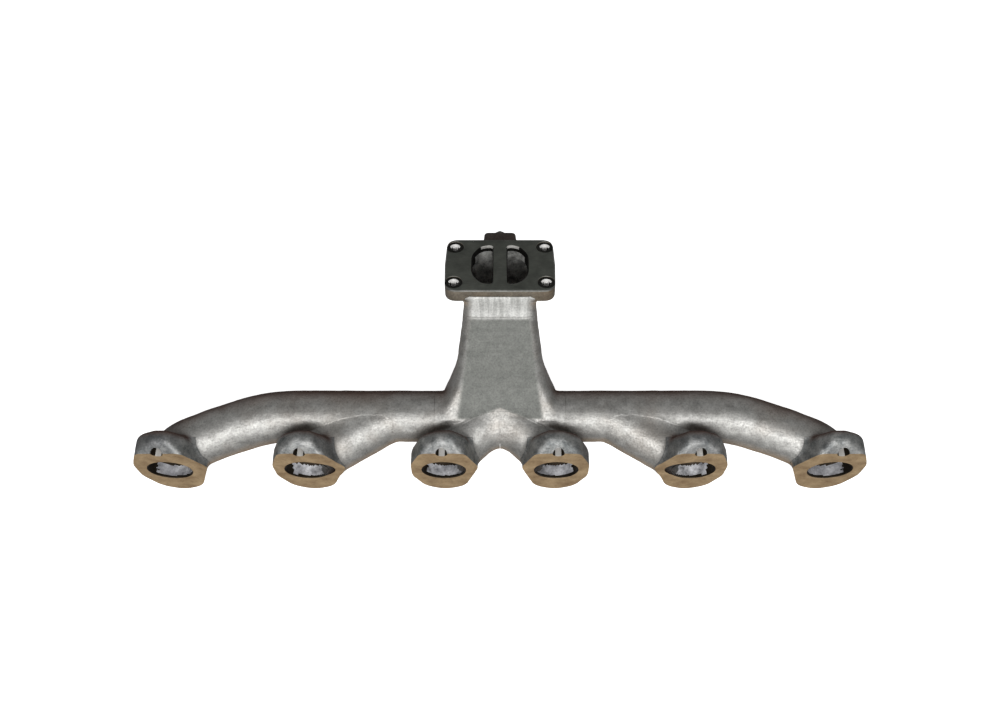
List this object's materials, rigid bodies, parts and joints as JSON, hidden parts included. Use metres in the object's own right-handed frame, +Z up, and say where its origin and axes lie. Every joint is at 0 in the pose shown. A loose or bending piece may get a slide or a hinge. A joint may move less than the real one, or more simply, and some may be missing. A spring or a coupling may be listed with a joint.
{
  "type": "exhaust manifold",
  "caption": "Divided exhaust manifold with six port flanges, curved runners, a central collector and an upright neck to a turbocharger flange.",
  "frame": {"origin": "on the cylinder-head joint plane at the height of the port axes, midway between ports 3 and 4", "axes": "+X along the engine, +Y away from the head, +Z up; the port faces look along -Y"},
  "size_m": [0.689, 0.1964, 0.1889],
  "materials": {
    "cast_iron": "sand-cast, grey with brown tints, half worn bright",
    "flange_iron": "cast sides, head face machined and tarnished golden brown",
    "dark_iron": "dark green-grey oiled machined iron",
    "bright_steel": "bright turned steel"
  },
  "bodies": {
    "root": {"port_flange_1": "flange_iron", "port_flange_2": "flange_iron", "port_flange_3": "flange_iron", "port_flange_4": "flange_iron", "port_flange_5": "flange_iron", "port_flange_6": "flange_iron", "runner_1": "cast_iron", "runner_2": "cast_iron", "runner_3": "cast_iron", "runner_4": "cast_iron", "runner_5": "cast_iron", "runner_6": "cast_iron", "collector_upper": "cast_iron", "collector_lower": "cast_iron", "turbo_neck": "cast_iron", "flow_divider": "cast_iron", "turbo_flange": "dark_iron", "threaded_insert_1": "bright_steel", "threaded_insert_2": "bright_steel", "threaded_insert_3": "bright_steel", "threaded_insert_4": "bright_steel", "probe_boss": "dark_iron", "probe_plug": "bright_steel"}
  },
  "joints": []
}
